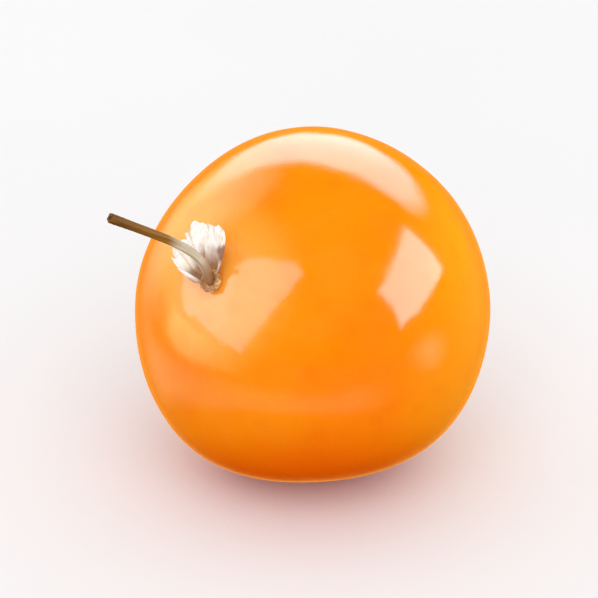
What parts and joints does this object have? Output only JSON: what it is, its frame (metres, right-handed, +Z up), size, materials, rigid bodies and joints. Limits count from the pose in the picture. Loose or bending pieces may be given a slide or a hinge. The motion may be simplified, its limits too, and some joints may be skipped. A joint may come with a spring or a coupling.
{
  "type": "physalis berry",
  "caption": "Round bare physalis berry lying on its side, with a dry hooked stalk standing in a slight hollow inside the torn papery base of its husk, and a small navel at the far pole.",
  "frame": {"origin": "middle of the small flat spot that the berry rests on, on the floor under the berry's centre", "axes": "+Z up; the stalk end leans over 57.5 degrees from +Z, to the left and front, 227.7 degrees round from +X; the navel is at the opposite pole, low at the right and back"},
  "size_m": [0.02, 0.0188, 0.0198],
  "materials": {
    "berry_skin": "gloss",
    "husk_paper": "matte",
    "dry_stalk": "matte"
  },
  "bodies": {
    "root": {"berry": "berry_skin", "husk_base": "husk_paper", "stalk": "dry_stalk"}
  },
  "joints": []
}
